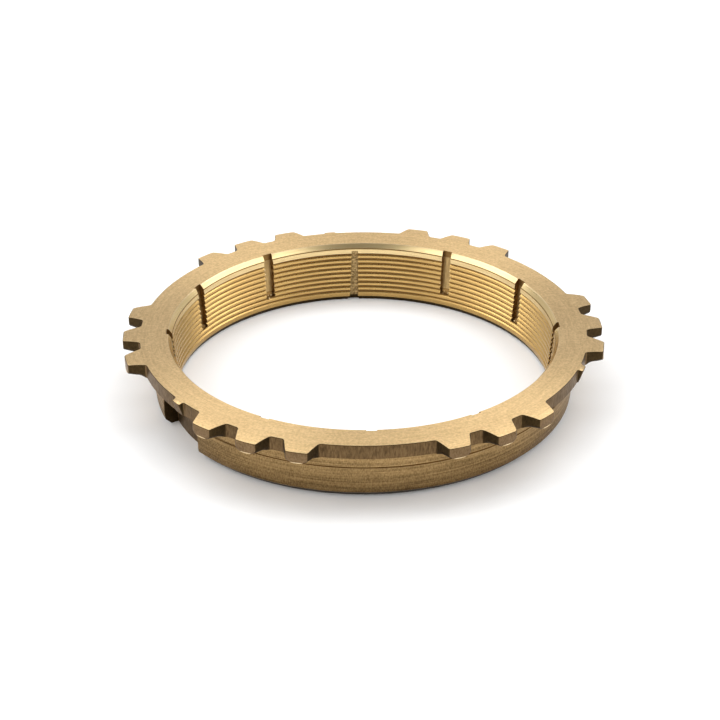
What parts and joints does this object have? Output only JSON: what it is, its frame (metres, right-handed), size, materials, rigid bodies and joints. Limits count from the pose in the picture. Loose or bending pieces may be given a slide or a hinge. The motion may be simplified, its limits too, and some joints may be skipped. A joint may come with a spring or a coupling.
{
  "type": "synchronizer ring",
  "caption": "Brass gearbox synchronizer ring with a coned friction bore, oil grooves, a key slot in its outer wall and groups of spline teeth round one face.",
  "frame": {"origin": "on the ring's axis, on the plane of its narrow end face, which it stands on", "axes": "+Z along the axis from the narrow end to the toothed face; +Y through the middle of one of the three reliefs in the bore"},
  "size_m": [0.0774, 0.0746, 0.0105],
  "materials": {
    "brass": "turned and milled brass, satin"
  },
  "bodies": {
    "root": {"synchronizer_ring": "brass"}
  },
  "joints": []
}
